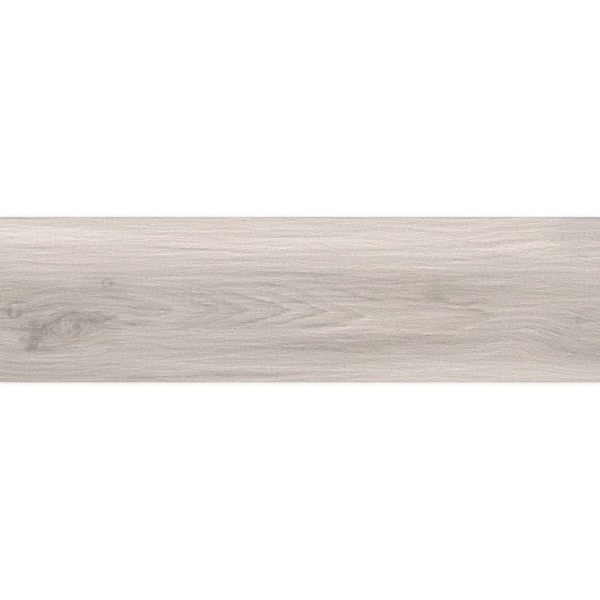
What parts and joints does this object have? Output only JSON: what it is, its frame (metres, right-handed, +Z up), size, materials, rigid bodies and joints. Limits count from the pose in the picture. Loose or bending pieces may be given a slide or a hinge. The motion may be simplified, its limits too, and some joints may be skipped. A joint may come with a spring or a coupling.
{
  "type": "floor tile",
  "caption": "Long wood-look porcelain floor tile: pale grey-beige oak grain with knots on a matt glazed face, square ground sides, and shallow keying recesses in the back.",
  "frame": {"origin": "middle of the back, on the plane that the tile is bedded on", "axes": "+X along the plank and its printed grain, +Y across it, +Z up through the wear face"},
  "size_m": [0.6, 0.165, 0.009],
  "materials": {
    "porcelain": "matt glaze with a pale grey-beige oak print and fine pressed grain on the face; bare pale grey fired body on the sides and back"
  },
  "bodies": {
    "root": {"tile": "porcelain"}
  },
  "joints": []
}
